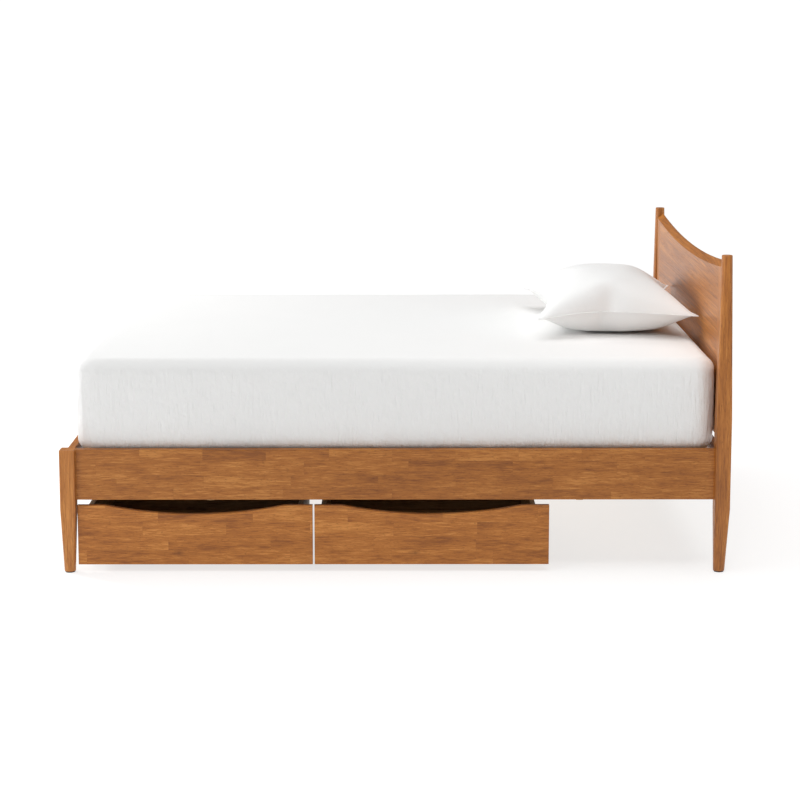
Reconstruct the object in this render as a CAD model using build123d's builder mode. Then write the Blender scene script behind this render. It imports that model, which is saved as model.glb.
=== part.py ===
from build123d import *
import os

# Platform bed with two roll-out storage drawers, in millimetres.
# +X points to the headboard, the drawers open towards -Y, and +Z is up.
# The origin lies on the floor under the middle of the bed.

# ---- Mattress: a standard queen size, which sets the size of the whole bed ----
mattress_length = 2032.0
mattress_width = 1524.0
mattress_height = 305.0
mattress_side_gap = 2.0
mattress_end_gap = 3.0
mattress_corner_radius = 60.0
mattress_edge_radius = 30.0
sheet_clearance = 0.4
sheet_thickness = 1.0
sheet_hem_height = 10.0

# ---- Frame ----
post_side = 48.0
foot_post_top = 399.0
head_post_top = 1016.0
rail_bottom = 235.0
rail_top = 397.0
side_rail_thickness = 28.0
cross_rail_thickness = 22.0
rail_edge_radius = 2.0
rail_setback = 20.0
slat_top = 375.0

# ---- Rounded ends of the posts ----
post_corner_radius = 2.0
square_start = 206.0
square_end = 500.0
foot_end_diameter = 36.0
head_end_diameter = 34.0
head_foot_shift = -4.0
top_bevel = 1.5
glide_height = 4.0
glide_diameter = 31.0

# ---- Headboard panel ----
panel_bottom = 430.0
ridge_height_middle = 960.5
ridge_height_ends = 994.0
ridge_bevel_height = 18.0
ridge_bevel_depth = 19.0
stile_width = 72.0

# ---- Slats, cleats, centre beam ----
slat_count = 12
slat_width = 78.0
slat_thickness = 18.0
slat_end_gap = 15.0
cleat_width = 24.0
cleat_height = 32.0
cleat_end_gap = 13.0
beam_width = 40.0
beam_height = 62.0
centre_leg_side = 40.0
centre_leg_places = (-700.0, -130.0, 440.0)
block_width = 22.0
block_thickness = 18.0
block_drop = 8.0
block_place = 588.0

# ---- Steel fittings ----
plate_thickness = 3.0
bracket_leg = 70.0
bracket_bottom = 250.0
bracket_height = 70.0
bolt_diameter = 8.0
bolt_head_diameter = 15.0
bolt_head_height = 4.0
bolt_depth = 17.0
bolt_clearance = 0.05
bolt_heights = (0.25, 0.75)  # shares of the bracket's height
bolt_reach = 0.62  # share of the bracket's leg
screw_diameter = 4.0
screw_head_diameter = 9.0
screw_head_height = 3.0
screw_depth = 34.0
hanger_depth = 36.0

# ---- Drawers ----
drawer_front_length = 747.0
drawer_front_bottom = 23.0
drawer_front_height = 193.0
drawer_front_thickness = 18.0
drawer_front_radius = 1.5
drawer_front_setback = 2.0
drawer_post_gap = 3.0
drawer_gap = 6.0
drawer_depth = 600.0
drawer_foot_inset = 18.0
drawer_head_inset = 36.0
drawer_board = 16.0
drawer_side_drop = 26.0
drawer_bottom_board = 9.0
scoop_length = 571.0
scoop_depth = 29.0
scoop_end_radius = 90.0

# ---- Casters ----
wheel_diameter = 36.0
wheel_width = 18.0
wheel_edge_radius = 3.0
axle_diameter = 6.0
axle_head_diameter = 10.0
axle_head_height = 2.0
axle_clearance = 0.05
fork_gap = 1.0
fork_sheet = 2.0
fork_plate_width = 44.0
fork_plate_length = 48.0
fork_ear_radius = 8.0
caster_height = 44.0
caster_side_inset = 60.0
caster_front_inset = 125.0
caster_back_inset = 60.0

# ---- Pillow ----
pillow_length = 775.0
pillow_width = 530.0
pillow_height = 200.0
pillow_corner_radius = 90.0
pillow_face_shrink = 190.0
pillow_headboard_gap = 2.0
pillow_middle_y = 8.0
pillow_lift = 0.5
pillow_shoulder_level = 0.2  # share of the height where the faces meet the bulging sides
pillow_shoulder_shrink = 0.35  # share of the faces' shrink at that level

# ---- Places that follow from the sizes above ----
inner_end_x = mattress_length / 2 + mattress_end_gap
outer_end_x = inner_end_x + cross_rail_thickness + rail_setback
post_x = outer_end_x - post_side / 2
rail_end_x = outer_end_x - post_side
rail_inner_y = mattress_width / 2 + mattress_side_gap
rail_outer_y = rail_inner_y + side_rail_thickness
post_face_y = rail_outer_y + rail_setback
post_y = post_face_y - post_side / 2
cleat_top = slat_top - slat_thickness
beam_bottom = cleat_top - beam_height
rail_height = rail_top - rail_bottom
rail_middle_z = (rail_top + rail_bottom) / 2
panel_front_x = post_x - cross_rail_thickness / 2  # the headboard stands in the middle of its posts
panel_back_x = panel_front_x + cross_rail_thickness
mattress_top = slat_top + mattress_height
sheet_top = mattress_top + sheet_clearance + sheet_thickness
bolt_radius = bolt_diameter / 2
bolt_hole_radius = bolt_radius + bolt_clearance
screw_hole_radius = screw_diameter / 2 + bolt_clearance
axle_hole_radius = axle_diameter / 2 + axle_clearance
sides = (("right", -1), ("left", 1))

os.makedirs("parts", exist_ok=True)


def save(piece, name):
    """Label a finished piece and write it to its own STEP file."""
    piece.part.label = name
    export_step(piece.part, f"parts/{name}.step")


def post_section(side, radius, shift=0.0):
    """A rounded square for a post; with half its side as radius it is very nearly a circle."""
    with Locations((shift, 0)):
        RectangleRounded(side, side, min(radius, side / 2 - 0.1))


# =====================================================================
# Posts and their glides
# =====================================================================
for side_name, sign in sides:
    # The head post is square beside the rail, and its corners round off towards both ends.
    head_axis = Plane((post_x, sign * post_y, 0))
    with BuildPart() as head_post:
        with BuildSketch(head_axis.offset(glide_height)):
            post_section(foot_end_diameter, foot_end_diameter / 2, head_foot_shift)
        with BuildSketch(head_axis.offset(square_start)):
            post_section(post_side, post_corner_radius)
        with BuildSketch(head_axis.offset(square_end)):
            post_section(post_side, post_corner_radius)
        with BuildSketch(head_axis.offset(head_post_top - top_bevel)):
            post_section(head_end_diameter, head_end_diameter / 2)
        with BuildSketch(head_axis.offset(head_post_top)):
            post_section(head_end_diameter - 2 * top_bevel, head_end_diameter / 2)
        loft(ruled=True)
    save(head_post, f"headboard_post_{side_name}")

    # The foot post stops level with the rail and tapers to a round foot.
    foot_axis = Plane((-post_x, sign * post_y, 0))
    with BuildPart() as foot_post:
        with BuildSketch(foot_axis.offset(glide_height)):
            post_section(foot_end_diameter, foot_end_diameter / 2)
        with BuildSketch(foot_axis.offset(square_start)):
            post_section(post_side, post_corner_radius)
        with BuildSketch(foot_axis.offset(foot_post_top - top_bevel)):
            post_section(post_side, post_corner_radius)
        with BuildSketch(foot_axis.offset(foot_post_top)):
            post_section(post_side - 2 * top_bevel, post_corner_radius)
        loft(ruled=True)
    save(foot_post, f"foot_post_{side_name}")

with BuildPart() as glides:
    with Locations(
        *[(-post_x, sign * post_y, 0) for _, sign in sides],
        *[(post_x + head_foot_shift, sign * post_y, 0) for _, sign in sides],
        *[(place, 0, 0) for place in centre_leg_places],
    ):
        Cylinder(glide_diameter / 2, glide_height, align=(Align.CENTER, Align.CENTER, Align.MIN))
save(glides, "leg_glides")

# =====================================================================
# Headboard boards: the panel between two upright end bands
# =====================================================================
# The top edge is an arc that hangs between the posts, so its centre is far above the bed.
panel_half = rail_inner_y
ridge_sag = ridge_height_ends - ridge_height_middle
ridge_radius = (panel_half**2 + ridge_sag**2) / (2 * ridge_sag)
ridge_axis = Axis((0, 0, ridge_height_middle + ridge_radius), (1, 0, 0))
stile_inner_y = panel_half - stile_width
bevel_slope = ridge_bevel_height / ridge_bevel_depth
over = 1.0
cutter_top = ridge_height_middle + 2 * (ridge_sag + ridge_bevel_height)
boards = (
    ("headboard_panel", -stile_inner_y, stile_inner_y),
    ("headboard_end_band_right", -panel_half, -stile_inner_y),
    ("headboard_end_band_left", stile_inner_y, panel_half),
)
for board_name, low_y, high_y in boards:
    with BuildPart() as board:
        with BuildSketch(Plane.YZ.offset(panel_front_x)):
            with Locations(((low_y + high_y) / 2, panel_bottom)):
                Rectangle(high_y - low_y, cutter_top - over - panel_bottom,
                          align=(Align.CENTER, Align.MIN))
        extrude(amount=cross_rail_thickness)
        # The ring over the ridge, with the front bevel, is cut away.
        with BuildSketch(Plane.XZ):
            with BuildLine():
                Polyline(
                    (panel_front_x - over, ridge_height_middle - ridge_bevel_height - over * bevel_slope),
                    (panel_front_x + ridge_bevel_depth, ridge_height_middle),
                    (panel_back_x + over, ridge_height_middle),
                    (panel_back_x + over, cutter_top),
                    (panel_front_x - over, cutter_top),
                    close=True,
                )
            make_face()
        revolve(axis=ridge_axis, revolution_arc=360, mode=Mode.SUBTRACT)
    save(board, board_name)

# =====================================================================
# Rails, with the holes for the bracket bolts drilled from their inner faces
# =====================================================================
bolt_places_z = [bracket_bottom + bracket_height * share for share in bolt_heights]
bolt_inset = bracket_leg * bolt_reach


def bolt_planes(stand_off):
    """Planes at all sixteen bolts, facing into the bed, some way off the rails' inner faces."""
    along_sides = [
        Plane((end * (inner_end_x - bolt_inset), sign * (rail_inner_y - stand_off), z),
              z_dir=(0, -sign, 0))
        for end in (-1, 1) for _, sign in sides for z in bolt_places_z
    ]
    along_ends = [
        Plane((end * (inner_end_x - stand_off), sign * (rail_inner_y - bolt_inset), z),
              z_dir=(-end, 0, 0))
        for end in (-1, 1) for _, sign in sides for z in bolt_places_z
    ]
    return along_sides + along_ends


for side_name, sign in sides:
    with BuildPart() as side_rail:
        with Locations((0, sign * (rail_inner_y + rail_outer_y) / 2, rail_middle_z)):
            Box(2 * rail_end_x, side_rail_thickness, rail_height)
        fillet(side_rail.edges().filter_by(Axis.X), radius=rail_edge_radius)
        with Locations(*bolt_planes(0)):
            Hole(bolt_hole_radius, depth=bolt_depth + over)
    save(side_rail, f"side_rail_{side_name}")

for rail_name, end in (("foot_rail", -1), ("head_rail", 1)):
    with BuildPart() as cross_rail:
        with Locations((end * (inner_end_x + cross_rail_thickness / 2), 0, rail_middle_z)):
            Box(cross_rail_thickness, 2 * rail_inner_y, rail_height)
        fillet(cross_rail.edges().filter_by(Axis.Y), radius=rail_edge_radius)
        with Locations(*bolt_planes(0)):
            Hole(bolt_hole_radius, depth=bolt_depth + over)
    save(cross_rail, rail_name)

# =====================================================================
# Corner brackets and their bolts
# =====================================================================
with BuildPart() as corner_brackets:
    for end in (-1, 1):
        for _, sign in sides:
            with BuildSketch(Plane.XY.offset(bracket_bottom)):
                with BuildLine():
                    Polyline(
                        (end * inner_end_x, sign * rail_inner_y),
                        (end * (inner_end_x - bracket_leg), sign * rail_inner_y),
                        (end * (inner_end_x - bracket_leg), sign * (rail_inner_y - plate_thickness)),
                        (end * (inner_end_x - plate_thickness), sign * (rail_inner_y - plate_thickness)),
                        (end * (inner_end_x - plate_thickness), sign * (rail_inner_y - bracket_leg)),
                        (end * inner_end_x, sign * (rail_inner_y - bracket_leg)),
                        close=True,
                    )
                make_face()
            extrude(amount=bracket_height)
    with Locations(*bolt_planes(plate_thickness)):
        Hole(bolt_hole_radius, depth=plate_thickness)
save(corner_brackets, "corner_brackets")

with BuildPart() as bracket_bolts:
    with Locations(*bolt_planes(plate_thickness)):
        Cylinder(bolt_head_diameter / 2, bolt_head_height,
                 align=(Align.CENTER, Align.CENTER, Align.MIN))
        Cylinder(bolt_diameter / 2, plate_thickness + bolt_depth,
                 align=(Align.CENTER, Align.CENTER, Align.MAX))
save(bracket_bolts, "bracket_bolts")

# =====================================================================
# Slat cleats, their support blocks, slats and screws
# =====================================================================
slat_reach = inner_end_x - slat_end_gap - slat_width / 2
slat_places = [slat_reach * (2 * number / (slat_count - 1) - 1) for number in range(slat_count)]
screw_y = rail_inner_y - cleat_width / 2
screw_places = [(place, sign * screw_y, slat_top) for place in slat_places for _, sign in sides]

for side_name, sign in sides:
    with BuildPart() as cleat:
        with Locations((0, sign * (rail_inner_y - cleat_width / 2), cleat_top - cleat_height / 2)):
            Box(2 * (rail_end_x - cleat_end_gap), cleat_width, cleat_height)
        with Locations(*screw_places):
            Hole(screw_hole_radius, depth=screw_depth + over)
    save(cleat, f"slat_cleat_{side_name}")

with BuildPart() as cleat_blocks:
    with Locations(
        *[
            (end * block_place, sign * (rail_inner_y - block_thickness / 2), rail_bottom - block_drop)
            for end in (-1, 1)
            for _, sign in sides
        ]
    ):
        Box(block_width, block_thickness, cleat_top - cleat_height - rail_bottom + block_drop,
            align=(Align.CENTER, Align.CENTER, Align.MIN))
save(cleat_blocks, "cleat_blocks")

for number, place in enumerate(slat_places, start=1):
    with BuildPart() as slat:
        with Locations((place, 0, slat_top - slat_thickness / 2)):
            Box(slat_width, mattress_width, slat_thickness)
        fillet(slat.edges().filter_by(Axis.Y), radius=rail_edge_radius)
        with Locations(*[(place, sign * screw_y, slat_top) for _, sign in sides]):
            CounterBoreHole(screw_hole_radius, screw_head_diameter / 2 + bolt_clearance,
                            screw_head_height)
    save(slat, f"slat_{number:02d}")

with BuildPart() as slat_screws:
    with Locations(*screw_places):
        Cylinder(screw_head_diameter / 2, screw_head_height,
                 align=(Align.CENTER, Align.CENTER, Align.MAX))
        Cylinder(screw_diameter / 2, screw_depth,
                 align=(Align.CENTER, Align.CENTER, Align.MAX))
save(slat_screws, "slat_screws")

# =====================================================================
# Centre beam, its hangers and its legs
# =====================================================================
beam_end_x = inner_end_x - plate_thickness
with BuildPart() as centre_beam:
    with Locations((0, 0, beam_bottom)):
        Box(2 * beam_end_x, beam_width, beam_height, align=(Align.CENTER, Align.CENTER, Align.MIN))
save(centre_beam, "centre_beam")

with BuildPart() as beam_hangers:
    for end in (-1, 1):
        with BuildSketch(Plane.YZ.offset(end * inner_end_x)):
            with Locations((0, beam_bottom - plate_thickness)):
                Rectangle(beam_width + 2 * plate_thickness, beam_height + plate_thickness,
                          align=(Align.CENTER, Align.MIN))
        extrude(amount=-end * hanger_depth)
        with BuildSketch(Plane.YZ.offset(end * beam_end_x)):
            with Locations((0, beam_bottom)):
                Rectangle(beam_width, beam_height, align=(Align.CENTER, Align.MIN))
        extrude(amount=-end * hanger_depth, mode=Mode.SUBTRACT)
save(beam_hangers, "beam_hangers")

for number, place in enumerate(centre_leg_places, start=1):
    with BuildPart() as centre_leg:
        with Locations((place, 0, glide_height)):
            Box(centre_leg_side, centre_leg_side, beam_bottom - glide_height,
                align=(Align.CENTER, Align.CENTER, Align.MIN))
        fillet(centre_leg.edges().filter_by(Axis.Z), radius=rail_edge_radius)
    save(centre_leg, f"centre_leg_{number}")

# =====================================================================
# Drawers
# =====================================================================
front_face_y = -rail_outer_y + drawer_front_setback
front_back_y = front_face_y + drawer_front_thickness
box_back_y = front_face_y + drawer_depth
front_top = drawer_front_bottom + drawer_front_height
box_side_top = front_top - drawer_side_drop
box_half = (drawer_front_length - drawer_foot_inset - drawer_head_inset) / 2
box_shift = (drawer_foot_inset - drawer_head_inset) / 2
caster_half = box_half - caster_side_inset
foot_drawer_x = -rail_end_x + drawer_post_gap + drawer_front_length / 2
head_drawer_x = foot_drawer_x + drawer_front_length + drawer_gap
fork_inner = wheel_width / 2 + fork_gap
fork_outer = fork_inner + fork_sheet
wheel_radius = wheel_diameter / 2
fork_top = caster_height
fork_plate_bottom = fork_top - fork_sheet

for drawer_name, drawer_x in (("foot_drawer", foot_drawer_x), ("head_drawer", head_drawer_x)):
    # The box sits a little towards the foot end behind its front.
    box_x = drawer_x + box_shift

    # The front: a board whose top edge dips in a long shallow scoop for the fingers.
    with BuildPart() as front:
        front_plane = Plane((drawer_x, front_back_y, 0), x_dir=(1, 0, 0), z_dir=(0, -1, 0))
        with BuildSketch(front_plane) as outline:
            with BuildLine():
                Polyline(
                    (-scoop_length / 2, front_top),
                    (-drawer_front_length / 2, front_top),
                    (-drawer_front_length / 2, drawer_front_bottom),
                    (drawer_front_length / 2, drawer_front_bottom),
                    (drawer_front_length / 2, front_top),
                    (scoop_length / 2, front_top),
                )
                ThreePointArc(
                    (scoop_length / 2, front_top),
                    (0, front_top - scoop_depth),
                    (-scoop_length / 2, front_top),
                )
            make_face()
            scoop_ends = outline.vertices().filter_by(
                lambda corner: abs(abs(corner.X) - scoop_length / 2) < over
            )
            fillet(scoop_ends, radius=scoop_end_radius)
        extrude(amount=drawer_front_thickness)
        fillet(front.faces().sort_by(Axis.Y)[0].edges(), radius=drawer_front_radius)
    save(front, f"{drawer_name}_front")

    for side_name, sign in (("foot_side", -1), ("head_side", 1)):
        with BuildPart() as box_side:
            with Locations((box_x + sign * box_half, front_back_y, caster_height)):
                Box(drawer_board, box_back_y - front_back_y, box_side_top - caster_height,
                    align=(Align.MAX if sign > 0 else Align.MIN, Align.MIN, Align.MIN))
        save(box_side, f"{drawer_name}_{side_name}")

    with BuildPart() as box_back:
        with Locations((box_x, box_back_y, caster_height)):
            Box(2 * (box_half - drawer_board), drawer_board, box_side_top - caster_height,
                align=(Align.CENTER, Align.MAX, Align.MIN))
    save(box_back, f"{drawer_name}_back")

    with BuildPart() as box_bottom:
        with Locations((box_x, front_back_y, caster_height)):
            Box(2 * (box_half - drawer_board), box_back_y - drawer_board - front_back_y,
                drawer_bottom_board, align=(Align.CENTER, Align.MIN, Align.MIN))
    save(box_bottom, f"{drawer_name}_bottom")

    # Four fixed casters: a bent sheet fork, a riveted axle and a wheel that turns on it.
    caster_places = [
        (box_x + sign * caster_half, y)
        for y in (front_face_y + caster_front_inset, box_back_y - caster_back_inset)
        for sign in (-1, 1)
    ]
    with BuildPart() as forks:
        with Locations(*[(x, y, fork_plate_bottom) for x, y in caster_places]):
            Box(fork_plate_width, fork_plate_length, fork_sheet,
                align=(Align.CENTER, Align.CENTER, Align.MIN))
        for x, y in caster_places:
            for sign in (-1, 1):
                ear_plane = Plane((x + sign * fork_inner, y, 0), x_dir=(0, 1, 0), z_dir=(1, 0, 0))
                with BuildSketch(ear_plane):
                    with Locations((0, wheel_radius)):
                        Circle(fork_ear_radius)
                        Rectangle(2 * fork_ear_radius, fork_plate_bottom - wheel_radius,
                                  align=(Align.CENTER, Align.MIN))
                        Circle(axle_hole_radius, mode=Mode.SUBTRACT)
                extrude(amount=sign * fork_sheet)
    save(forks, f"{drawer_name}_caster_forks")

    with BuildPart() as axles:
        with Locations(*[(x, y, wheel_radius) for x, y in caster_places]):
            Cylinder(axle_diameter / 2, 2 * fork_outer, rotation=(0, 90, 0))
        for sign in (-1, 1):
            with Locations(
                *[(x + sign * (fork_outer + axle_head_height / 2), y, wheel_radius)
                  for x, y in caster_places]
            ):
                Cylinder(axle_head_diameter / 2, axle_head_height, rotation=(0, 90, 0))
    save(axles, f"{drawer_name}_caster_axles")

    for number, (x, y) in enumerate(caster_places, start=1):
        with BuildPart() as wheel:
            with Locations((x, y, wheel_radius)):
                Cylinder(wheel_radius, wheel_width, rotation=(0, 90, 0))
            fillet(wheel.edges().filter_by(GeomType.CIRCLE), radius=wheel_edge_radius)
            with Locations(Plane((x + wheel_width / 2, y, wheel_radius), z_dir=(1, 0, 0))):
                Hole(axle_hole_radius, depth=wheel_width)
        save(wheel, f"{drawer_name}_wheel_{number}")

# =====================================================================
# Mattress, fitted sheet and pillow
# =====================================================================
def mattress_block(bottom, grow):
    """The mattress's rounded shape from some height up, grown outwards by a distance."""
    with BuildPart() as block:
        with BuildSketch(Plane.XY.offset(bottom)):
            RectangleRounded(mattress_length + 2 * grow, mattress_width + 2 * grow,
                             mattress_corner_radius + grow)
        extrude(amount=mattress_top + grow - bottom)
        fillet(block.faces().sort_by(Axis.Z)[-1].edges(), radius=mattress_edge_radius + grow)
    return block.part


mattress_shape = mattress_block(slat_top, 0)
sheet_outside = mattress_block(slat_top + sheet_hem_height, sheet_clearance + sheet_thickness)
sheet_inside = mattress_block(slat_top + sheet_hem_height, sheet_clearance)

with BuildPart() as mattress:
    add(mattress_shape)
    fillet(mattress.faces().sort_by(Axis.Z)[0].edges(), radius=mattress_edge_radius)
save(mattress, "mattress")

# The sheet is a thin skin that stands just off the top and the sides of the mattress.
with BuildPart() as fitted_sheet:
    add(sheet_outside)
    add(sheet_inside, mode=Mode.SUBTRACT)
save(fitted_sheet, "fitted_sheet")

# The pillow is a plain closed solid of the right outer size, widest at half its height.
pillow_x = inner_end_x - pillow_headboard_gap - pillow_width / 2
pillow_base = Plane((pillow_x, pillow_middle_y, sheet_top + pillow_lift))
pillow_layers = (
    (0.0, pillow_face_shrink),
    (pillow_shoulder_level, pillow_face_shrink * pillow_shoulder_shrink),
    (0.5, 0.0),
    (1.0 - pillow_shoulder_level, pillow_face_shrink * pillow_shoulder_shrink),
    (1.0, pillow_face_shrink),
)
with BuildPart() as pillow:
    for level, shrink in pillow_layers:
        with BuildSketch(pillow_base.offset(level * pillow_height)):
            RectangleRounded(pillow_width - shrink, pillow_length - shrink, pillow_corner_radius)
    loft(ruled=True)
save(pillow, "pillow")
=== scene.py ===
"""The looks of a platform bed with storage drawers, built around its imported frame."""

import math

import bmesh
import bpy
from bpy.props import BoolProperty, FloatProperty, FloatVectorProperty, IntProperty, PointerProperty
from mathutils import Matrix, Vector, noise


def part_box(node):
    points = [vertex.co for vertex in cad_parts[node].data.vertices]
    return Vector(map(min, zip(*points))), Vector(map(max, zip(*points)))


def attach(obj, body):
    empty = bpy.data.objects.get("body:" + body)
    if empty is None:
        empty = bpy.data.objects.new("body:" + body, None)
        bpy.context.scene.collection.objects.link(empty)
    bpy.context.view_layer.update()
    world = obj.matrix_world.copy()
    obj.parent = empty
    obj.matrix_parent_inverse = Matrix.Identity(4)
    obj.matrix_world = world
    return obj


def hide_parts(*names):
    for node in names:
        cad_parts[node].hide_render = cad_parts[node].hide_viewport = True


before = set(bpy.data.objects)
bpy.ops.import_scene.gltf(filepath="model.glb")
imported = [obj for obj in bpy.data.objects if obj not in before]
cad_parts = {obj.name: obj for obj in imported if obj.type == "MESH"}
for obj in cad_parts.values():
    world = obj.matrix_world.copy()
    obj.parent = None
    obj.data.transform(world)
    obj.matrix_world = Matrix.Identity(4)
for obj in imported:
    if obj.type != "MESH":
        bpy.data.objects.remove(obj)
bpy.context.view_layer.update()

bl_info = {
    "name": "Platform bed looks",
    "version": (1, 0, 0),
    "blender": (4, 5, 0),
    "location": "3D View > Sidebar > Bed",
    "description": "Wood finishes, bedding and small hardware for a platform bed with drawers",
    "category": "Object",
}

FRAME_BODY = "bed_frame"
DRAWERS = ("foot_drawer", "head_drawer")
CASE_CELL = 0.0125  # size of one face of the pillowcase


# =====================================================================
# Shader maths
# =====================================================================
def operation(name):
    """A method that adds one Math node of this kind."""
    return lambda value, *others: value.math(name, *others)


class Value:
    """A node socket that adds Math nodes when it is used in an expression."""

    def __init__(self, tree, socket):
        self.tree = tree
        self.socket = socket

    def math(self, kind, *others):
        node = self.tree.nodes.new("ShaderNodeMath")
        node.operation = kind
        for slot, other in zip(node.inputs, (self, *others)):
            connect(self.tree, other, slot)
        return Value(self.tree, node.outputs[0])

    __add__ = __radd__ = operation("ADD")
    __sub__ = operation("SUBTRACT")
    __mul__ = __rmul__ = operation("MULTIPLY")
    __truediv__ = operation("DIVIDE")
    __pow__ = operation("POWER")
    floor = operation("FLOOR")
    fraction = operation("FRACT")
    sine = operation("SINE")
    absolute = operation("ABSOLUTE")

    def __rsub__(self, other):
        return self * -1 + other

    def above(self, edge, softness):
        """Rises smoothly from 0 at the edge to 1 past the softness."""
        return ramp(self.tree, self, edge, edge + softness)

    def below(self, edge, softness):
        """Falls smoothly from 1 at the edge to 0 past the softness."""
        return 1 - ramp(self.tree, self, edge, edge + softness)


def connect(tree, source, slot):
    """Links a wrapped socket to an input, or sets the input to a plain value."""
    if isinstance(source, Value):
        tree.links.new(source.socket, slot)
    else:
        slot.default_value = source


def ramp(tree, value, low, high):
    node = tree.nodes.new("ShaderNodeMapRange")
    node.interpolation_type = "SMOOTHSTEP"
    for name, source in (("Value", value), ("From Min", low), ("From Max", high)):
        connect(tree, source, node.inputs[name])
    return Value(tree, node.outputs[0])


class Finish:
    """A new material, with one method that makes any node."""

    def __init__(self, name):
        self.material = bpy.data.materials.new(name)
        self.material.use_nodes = True
        self.tree = self.material.node_tree
        self.shader = next(n for n in self.tree.nodes if n.type == "BSDF_PRINCIPLED")

    def node(self, kind, settings=None, inputs=None, output=0):
        """Makes a node, sets its settings first and its inputs next, and wraps one output."""
        node = self.tree.nodes.new(kind)
        for name, setting in (settings or {}).items():
            setattr(node, name, setting)
        for name, source in (inputs or {}).items():
            connect(self.tree, source, node.inputs[name])
        return Value(self.tree, node.outputs[output])

    def place(self, source="Object"):
        """The surface point as separate X, Y and Z values, in metres."""
        coordinates = self.tree.nodes.new("ShaderNodeTexCoord")
        split = self.tree.nodes.new("ShaderNodeSeparateXYZ")
        self.tree.links.new(coordinates.outputs[source], split.inputs[0])
        return [Value(self.tree, output) for output in split.outputs]

    def vector(self, x, y, z=0.0):
        return self.node("ShaderNodeCombineXYZ", inputs={"X": x, "Y": y, "Z": z})

    def noise(self, vector, scale=1.0, detail=2.0, roughness=0.5):
        return self.node(
            "ShaderNodeTexNoise",
            inputs={"Vector": vector, "Scale": scale, "Detail": detail, "Roughness": roughness},
        )

    def random(self, vector):
        """A random value between 0 and 1 that is the same all over one cell."""
        return self.node("ShaderNodeTexWhiteNoise", {"noise_dimensions": "3D"}, {"Vector": vector})

    def mix(self, factor, first, second):
        """Mixes two colours by a factor."""
        node = self.tree.nodes.new("ShaderNodeMix")
        node.data_type = "RGBA"
        connect(self.tree, factor, node.inputs[0])
        connect(self.tree, first, node.inputs[6])
        connect(self.tree, second, node.inputs[7])
        return Value(self.tree, node.outputs[2])

    def surface(self, colour=None, roughness=None, height=None, depth=None, **constants):
        """Feeds the shader: a colour, a roughness, a bump of some depth, and constants."""
        if colour is not None:
            connect(self.tree, colour, self.shader.inputs["Base Color"])
        if roughness is not None:
            connect(self.tree, roughness, self.shader.inputs["Roughness"])
        if height is not None:
            bump = self.node("ShaderNodeBump",
                             inputs={"Height": height, "Distance": depth, "Strength": 1.0})
            connect(self.tree, bump, self.shader.inputs["Normal"])
        slots = {slot.name.lower().replace(" ", "_"): slot for slot in self.shader.inputs}
        for name, constant in constants.items():
            slots[name].default_value = constant
        return self.material


def linear(red, green, blue):
    """An sRGB colour given in 0 to 255, as linear light with full alpha."""
    channels = []
    for channel in (red, green, blue):
        share = channel / 255
        channels.append(share / 12.92 if share <= 0.04045 else ((share + 0.055) / 1.055) ** 2.4)
    return (*channels, 1.0)


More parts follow.
